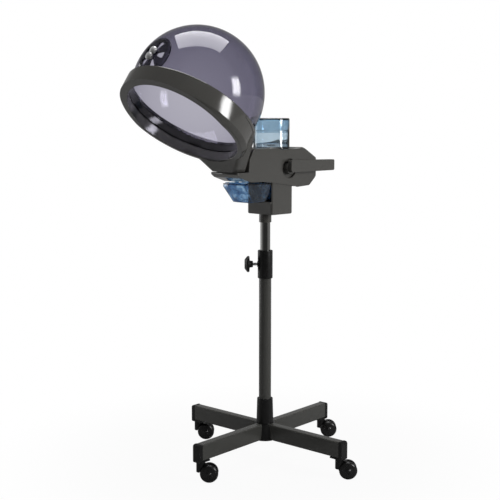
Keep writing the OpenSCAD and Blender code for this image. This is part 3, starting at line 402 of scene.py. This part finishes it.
# Slot, material and edge rounding in millimetres of each CAD node
FINISHES = {
    "charcoal_abs": (CHARCOAL, {
        "box_shell": 0.8, "rear_cover": 0.5, "arm_shell_right": 0.7, "arm_shell_left": 0.7, "tank_seat": 0.4,
        "hood_ring": 0.6, "tilt_lever": 1.2}),
    "ring_liner": (PAINTED_SHADE_LINER, {"drip_ring": 0.4}),
    "black_plastic": (BLACK, {
        "base_hub": 0.8, "leg_end_caps": 0.8, "post_bush": 0, "clamp_collar": 0.4, "clamp_knob": 0.6,
        "inner_foot": 0, "cord_gland": 0.4, "timer_body": 0, "timer_knob": 0.4, "switch_frame": 0.3,
        "steam_diffuser": 0.2, "thermostat": 0}),
    "smoked_acrylic": (VENT_SMOKE, {"vent_frame": 0.5, "vent_shutter": 0.3}),
    "painted_steel": (GREY_COAT, {
        "leg_right": 0.2, "leg_rear": 0.2, "leg_left": 0.2, "leg_front": 0.2, "lower_post": 0.2}),
    "black_chrome": (DARK_PLATE, {"inner_post": 0.2}),
    "zinc_steel": (ZINC, {
        "clamp_screw": 0.2, "cover_screws": 0.2, "arm_screws": 0.2, "tilt_bracket": 0.3, "tilt_shaft": 0.3,
        "friction_washers": 0}),
    "stainless": (STAINLESS, {"boiler": 0, "boiler_lid": 0, "steam_pipe": 0, "feed_tube": 0}),
    "heater_sheath": (SHEATH, {"heater_element": 0}),
    "cup_deep_blue": (CUP_BLUE, {"drip_cup": 0.9}),
    "silver_knob": (SILVER, {"vent_knob": 0.3}),
    "switch_red": (ROCKER_RED, {"power_switch": 0.3}),
    "lamp_red": (LAMP_RED, {"pilot_lamp": 0.2}),
}

body_of = {node: body for body, nodes in frame["record"]["behaviour"]["bodies"].items() for node in nodes}
for slot, (material, nodes) in FINISHES.items():
    for node, edge_mm in nodes.items():
        softened(node, body_of[node], material, edge_mm)
for leg in ("right", "rear", "left", "front"):
    softened("caster_fork_" + leg, "caster_" + leg, BLACK, 0.6)
    softened("caster_axle_" + leg, "caster_" + leg, ZINC, 0.2)
    softened("caster_wheels_" + leg, "wheels_" + leg, WHEEL, 0)

dome_shell()
tank_body()
tank_cover()

# Stage, lights and camera


def straight_view(tree, rays):
    """A socket that is 1 for what the camera sees straight or through clear plastic, and 0 otherwise."""
    straight = add(tree, "ShaderNodeMath",
                   {0: rays.outputs["Is Camera Ray"], 1: rays.outputs["Is Transmission Ray"]},
                   operation="MAXIMUM")
    return straight.outputs[0]


def studio_floor():
    """Pale floor, white to the camera and through clear plastic, that keeps a soft shadow round the base."""
    bm = bmesh.new()
    bmesh.ops.create_grid(bm, x_segments=1, y_segments=1, size=30)
    floor = bpy.data.objects.new("studio_floor", to_mesh(bm, "studio_floor"))
    bpy.context.scene.collection.objects.link(floor)
    material, tree = blank("white paper floor")
    rays = add(tree, "ShaderNodeLightPath")
    place = add(tree, "ShaderNodeTexCoord")
    reach = add(tree, "ShaderNodeVectorMath", {0: place.outputs["Object"]}, operation="LENGTH")
    matt = add(tree, "ShaderNodeBsdfDiffuse", {"Color": linear("#aaaaaa")})
    white = add(tree, "ShaderNodeEmission", {"Color": WHITE, "Strength": 1.0})
    # Round the base, a part of the matt paper and its shadow stays in view
    fade = add(tree, "ShaderNodeMapRange",
               {"Value": reach.outputs["Value"], "From Min": 0.3, "From Max": 0.9, "To Min": 0.95},
               interpolation_type="SMOOTHSTEP")
    # Reflections show the far paper lighter at the sides and behind than towards the camera
    bearing = add(tree, "ShaderNodeVectorMath", {0: place.outputs["Object"]}, operation="NORMALIZE")
    behind = add(tree, "ShaderNodeVectorMath", {0: bearing.outputs["Vector"], 1: BEHIND},
                 operation="DOT_PRODUCT")
    sides = add(tree, "ShaderNodeMapRange",
                {"Value": behind.outputs["Value"], "From Min": -0.8, "From Max": -0.3, "To Max": 0.4},
                interpolation_type="SMOOTHSTEP")
    far = add(tree, "ShaderNodeMapRange", {"Value": reach.outputs["Value"], "From Min": 1.2, "From Max": 2.5},
              interpolation_type="SMOOTHSTEP")
    sweep = add(tree, "ShaderNodeMath", {0: sides.outputs["Result"], 1: far.outputs["Result"]},
                operation="MULTIPLY")
    mirrored = add(tree, "ShaderNodeMath", {0: rays.outputs["Is Glossy Ray"], 1: sweep.outputs[0]},
                   operation="MULTIPLY")
    seen = add(tree, "ShaderNodeMath", {0: straight_view(tree, rays), 1: mirrored.outputs[0]},
               operation="MAXIMUM")
    keep = add(tree, "ShaderNodeMath", {0: seen.outputs[0], 1: fade.outputs["Result"]}, operation="MULTIPLY")
    both = add(tree, "ShaderNodeMixShader", {0: keep.outputs[0], 1: matt.outputs[0], 2: white.outputs[0]})
    add(tree, "ShaderNodeOutputMaterial", {"Surface": both.outputs[0]})
    floor.data.materials.append(material)


def studio_world():
    """White to the camera and through clear plastic; as light, a dim studio, lighter straight behind."""
    world = bpy.data.worlds.new("studio")
    bpy.context.scene.world = world
    world.use_nodes = True
    tree = world.node_tree
    tree.nodes.clear()
    place = add(tree, "ShaderNodeTexCoord")
    rays = add(tree, "ShaderNodeLightPath")
    behind = add(tree, "ShaderNodeVectorMath", {0: place.outputs["Generated"], 1: BEHIND},
                 operation="DOT_PRODUCT")
    level = add(tree, "ShaderNodeMapRange",
                {"Value": behind.outputs["Value"], "From Min": cos(radians(45)), "From Max": cos(radians(6)),
                 "To Min": 0.16, "To Max": 0.32}, interpolation_type="SMOOTHSTEP")
    strength = add(tree, "ShaderNodeMix",
                   {"Factor": straight_view(tree, rays), "A": level.outputs["Result"], "B": 1.0})
    sky = add(tree, "ShaderNodeBackground", {"Color": WHITE, "Strength": strength.outputs["Result"]})
    add(tree, "ShaderNodeOutputWorld", {"Surface": sky.outputs["Background"]})


def soft_edges(lamp, share):
    """Let a lamp fall off towards its four edges, over a share of its half width and half height."""
    middle = 0.5
    lamp.use_nodes = True
    tree = lamp.node_tree
    tree.nodes.clear()
    place = add(tree, "ShaderNodeNewGeometry")
    across = add(tree, "ShaderNodeSeparateXYZ", {"Vector": place.outputs["Parametric"]})
    levels = []
    for axis in ("X", "Y"):
        offset = add(tree, "ShaderNodeMath", {0: across.outputs[axis], 1: middle}, operation="SUBTRACT")
        reach = add(tree, "ShaderNodeMath", {0: offset.outputs[0]}, operation="ABSOLUTE")
        fall = add(tree, "ShaderNodeMapRange",
                   {"Value": reach.outputs[0], "From Min": middle, "From Max": middle * (1 - share)},
                   interpolation_type="SMOOTHSTEP")
        levels.append(fall.outputs["Result"])
    level = add(tree, "ShaderNodeMath", {0: levels[0], 1: levels[1]}, operation="MULTIPLY")
    glow = add(tree, "ShaderNodeEmission", {"Strength": level.outputs[0]})
    add(tree, "ShaderNodeOutputLight", {"Surface": glow.outputs["Emission"]})


def softbox(name, place, aim, width, height, radiance, turn=0, fading=0):
    """Rectangular soft light, turned about its own beam; radiance is against 1 for white."""
    lamp = bpy.data.lights.new(name, "AREA")
    lamp.shape = "RECTANGLE"
    lamp.size = width
    lamp.size_y = height
    lamp.energy = radiance * pi * width * height
    if fading:
        soft_edges(lamp, fading)
    holder = bpy.data.objects.new(name, lamp)
    holder.location = place
    beam = (Vector(aim) - Vector(place)).to_track_quat("-Z", "Y")
    holder.rotation_euler = (beam.to_matrix() @ Matrix.Rotation(turn, 3, "Z")).to_euler()
    holder.visible_camera = False
    bpy.context.scene.collection.objects.link(holder)


def camera():
    """Camera at the photograph's place."""
    lens = bpy.data.cameras.new("camera")
    lens.sensor_width = SENSOR_MM
    lens.lens = LENS_MM
    holder = bpy.data.objects.new("camera", lens)
    holder.location = CAMERA_PLACE
    holder.rotation_euler = (pi / 2 - CAMERA_DROP, 0, CAMERA_TURN)
    bpy.context.scene.collection.objects.link(holder)
    bpy.context.scene.camera = holder


studio_floor()
studio_world()
softbox("key", place=(2.2, 0.75, 1.42), aim=(0.0, -0.253, 1.42), width=0.85, height=1.4, radiance=19,
        fading=0.6)
softbox("top", place=(-0.117, 0.046, 2.6), aim=(-0.117, 0.046, 0.0), width=1.58, height=1.24, radiance=5.7,
        turn=CAMERA_TURN)
softbox("fill", place=(-2.15, -0.72, 0.9), aim=(0.0, 0.0, 0.9), width=0.8, height=2.0, radiance=1.8)
camera()
bpy.context.scene.view_settings.view_transform = "Standard"
